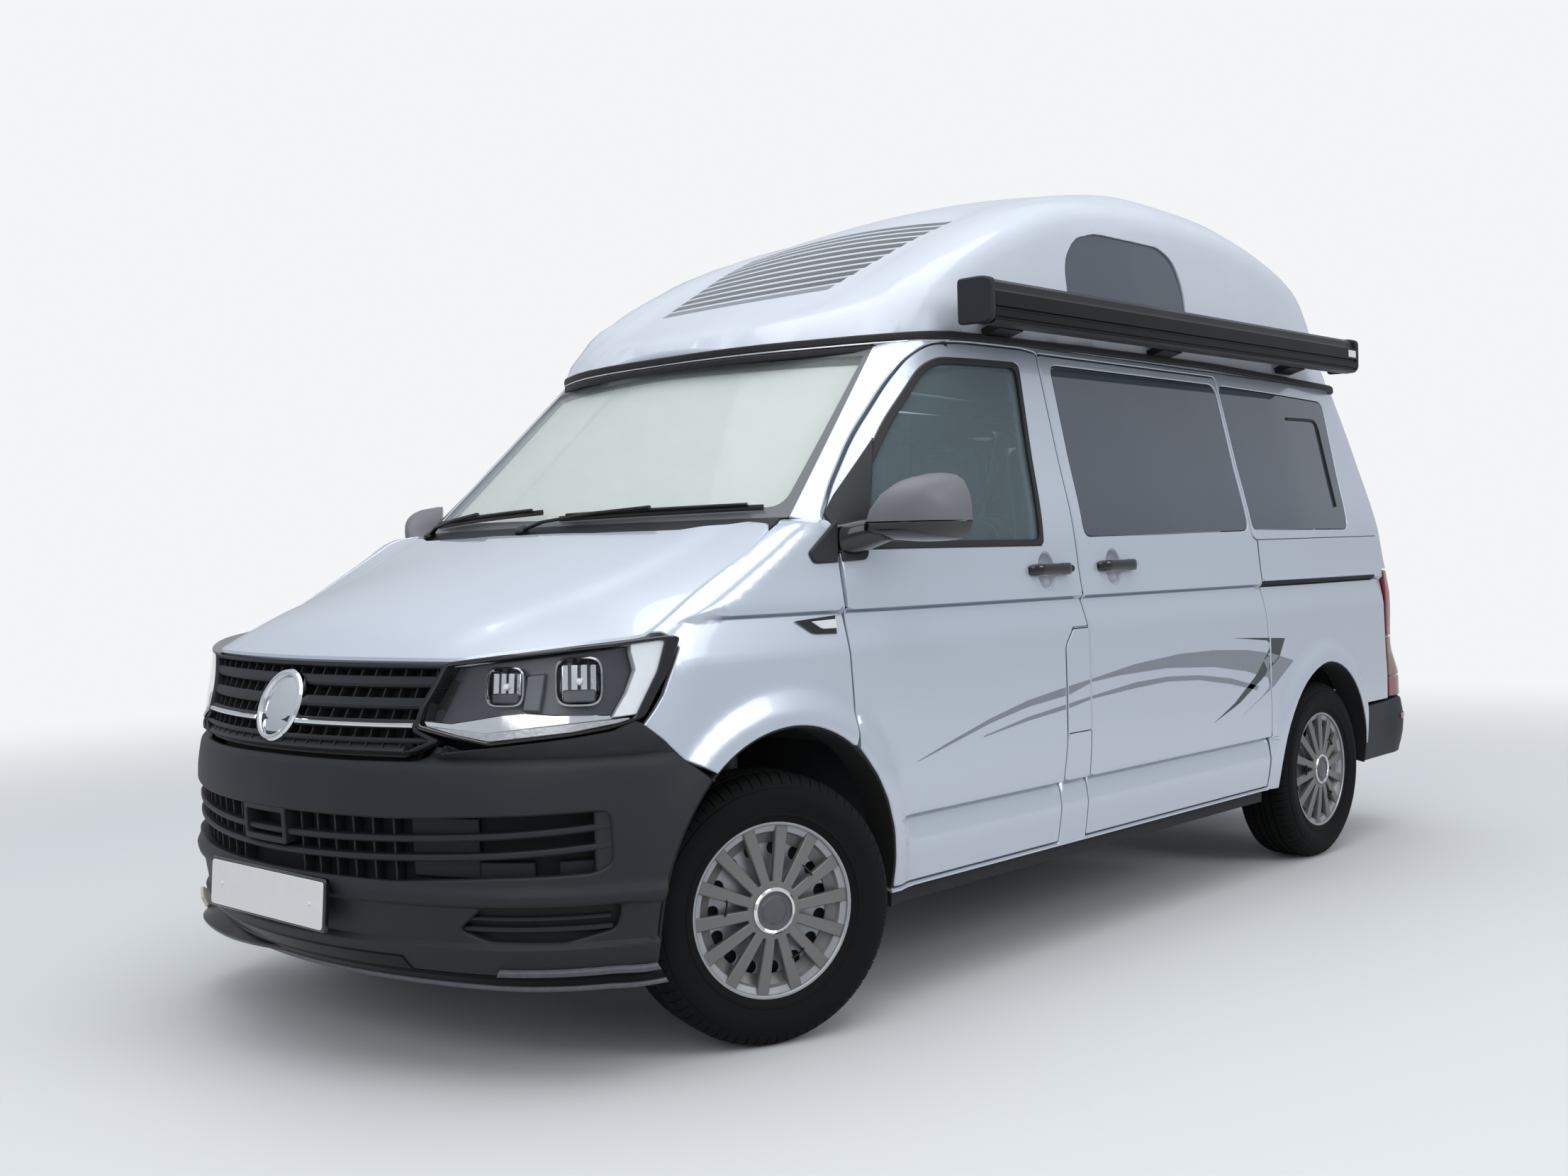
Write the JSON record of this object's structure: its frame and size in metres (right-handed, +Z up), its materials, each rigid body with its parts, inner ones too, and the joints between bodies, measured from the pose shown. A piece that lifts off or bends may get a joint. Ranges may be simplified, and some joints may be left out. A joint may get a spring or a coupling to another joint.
{
  "type": "camper van",
  "caption": "Mid-size camper van with a fixed moulded high top, roll-out awning, sliding side door, lift-up tailgate and a short sloping bonnet.",
  "frame": {"origin": "on the ground, midway between the bumpers and between the mirrors", "axes": "the front faces -Y, the van's left side is +X, +Z is up"},
  "size_m": [2.296, 4.904, 2.516],
  "materials": {
    "silver_paint": "metallic gloss",
    "gel_coat": "gloss",
    "dark_plastic": "textured matte",
    "gloss_black": "gloss",
    "lamp": "clear over bright reflector",
    "red_lamp": "gloss",
    "clear_glass": "clear",
    "dark_glass": "tinted",
    "underseal": "matte",
    "liner": "matte",
    "cast": "matte",
    "wheel_silver": "satin",
    "tyre": "matte",
    "awning_grey": "powder coat",
    "trim": "matte",
    "seat_cloth": "woven",
    "cabinet": "satin",
    "exhaust_steel": "dull"
  },
  "bodies": {
    "van": {"floor_pan": "underseal", "side_frame_left": "silver_paint", "side_frame_right": "silver_paint", "front_header": "silver_paint", "rear_frame": "silver_paint", "wheel_housings": "liner", "front_bumper": "dark_plastic", "splitter": "gloss_black", "grille": "dark_plastic", "headlamps": "lamp", "wings": "silver_paint", "scuttle": "trim", "windscreen": "clear_glass", "sliding_door": "silver_paint", "slider_glass": "dark_glass", "side_glass": "dark_glass", "tail_lamps": "red_lamp", "rear_bumper": "dark_plastic", "high_top": "gel_coat", "roof_windows": "dark_glass", "awning": "awning_grey", "dashboard": "trim", "steering_wheel": "trim", "cab_seats": "seat_cloth", "bench_seat": "seat_cloth", "kitchen_unit": "cabinet", "engine_block": "cast", "front_subframe": "underseal", "rear_axle": "underseal", "fuel_tank": "liner", "exhaust": "exhaust_steel"},
    "bonnet": {"bonnet": "silver_paint"},
    "tailgate": {"tailgate": "silver_paint", "tailgate_glass": "dark_glass"},
    "fuel_flap": {"fuel_flap": "silver_paint"},
    "front_door_left": {"front_door_left": "silver_paint", "door_glass_left": "clear_glass", "mirror_left": "dark_plastic"},
    "knuckle_left": {"knuckle_left": "cast"},
    "wheel_front_left": {"wheel_front_left": "wheel_silver", "tyre_front_left": "tyre"},
    "wheel_rear_left": {"wheel_rear_left": "wheel_silver", "tyre_rear_left": "tyre"},
    "front_door_right": {"front_door_right": "silver_paint", "door_glass_right": "clear_glass", "mirror_right": "dark_plastic"},
    "knuckle_right": {"knuckle_right": "cast"},
    "wheel_front_right": {"wheel_front_right": "wheel_silver", "tyre_front_right": "tyre"},
    "wheel_rear_right": {"wheel_rear_right": "wheel_silver", "tyre_rear_right": "tyre"}
  },
  "joints": [
    {"name": "steer_left", "type": "hinge", "parent": "van", "child": "knuckle_left", "pos_m": [0.724, -1.544, 0.335], "axis": [0, 0, 1], "range_deg": [-16, 56]},
    {"name": "steer_right", "type": "hinge", "parent": "van", "child": "knuckle_right", "pos_m": [-0.724, -1.544, 0.335], "axis": [0, 0, 1], "range_deg": [-16, 56]},
    {"name": "spin_front_left", "type": "hinge", "parent": "knuckle_left", "child": "wheel_front_left", "pos_m": [0.80857, -1.57478, 0.335], "axis": [0.9397, -0.342, 0], "continuous": true},
    {"name": "spin_front_right", "type": "hinge", "parent": "knuckle_right", "child": "wheel_front_right", "pos_m": [-0.80857, -1.51322, 0.335], "axis": [0.9397, -0.342, 0], "continuous": true},
    {"name": "spin_rear_left", "type": "hinge", "parent": "van", "child": "wheel_rear_left", "pos_m": [0.814, 1.456, 0.335], "axis": [1, 0, 0], "continuous": true},
    {"name": "spin_rear_right", "type": "hinge", "parent": "van", "child": "wheel_rear_right", "pos_m": [-0.814, 1.456, 0.335], "axis": [1, 0, 0], "continuous": true},
    {"name": "door_left", "type": "hinge", "parent": "van", "child": "front_door_left", "pos_m": [0.9364, -1.38, 0.85], "axis": [0, 0, -1], "range_deg": [0, 68]},
    {"name": "door_right", "type": "hinge", "parent": "van", "child": "front_door_right", "pos_m": [-0.9364, -1.38, 0.85], "axis": [0, 0, 1], "range_deg": [0, 68]},
    {"name": "bonnet_hinge", "type": "hinge", "parent": "van", "child": "bonnet", "pos_m": [0, -1.512, 1.256], "axis": [-1, 0, 0], "range_deg": [0, 50]},
    {"name": "tailgate_hinge", "type": "hinge", "parent": "van", "child": "tailgate", "pos_m": [0, 2.0745, 1.772], "axis": [1, 0, 0], "range_deg": [0, 85]},
    {"name": "flap_hinge", "type": "hinge", "parent": "van", "child": "fuel_flap", "pos_m": [0.95, -0.371, 0.81], "axis": [0, 0, -1], "range_deg": [0, 90]}
  ],
  "couplings": [
    {"joint": "steer_right", "follows": "steer_left", "ratio": 1}
  ]
}
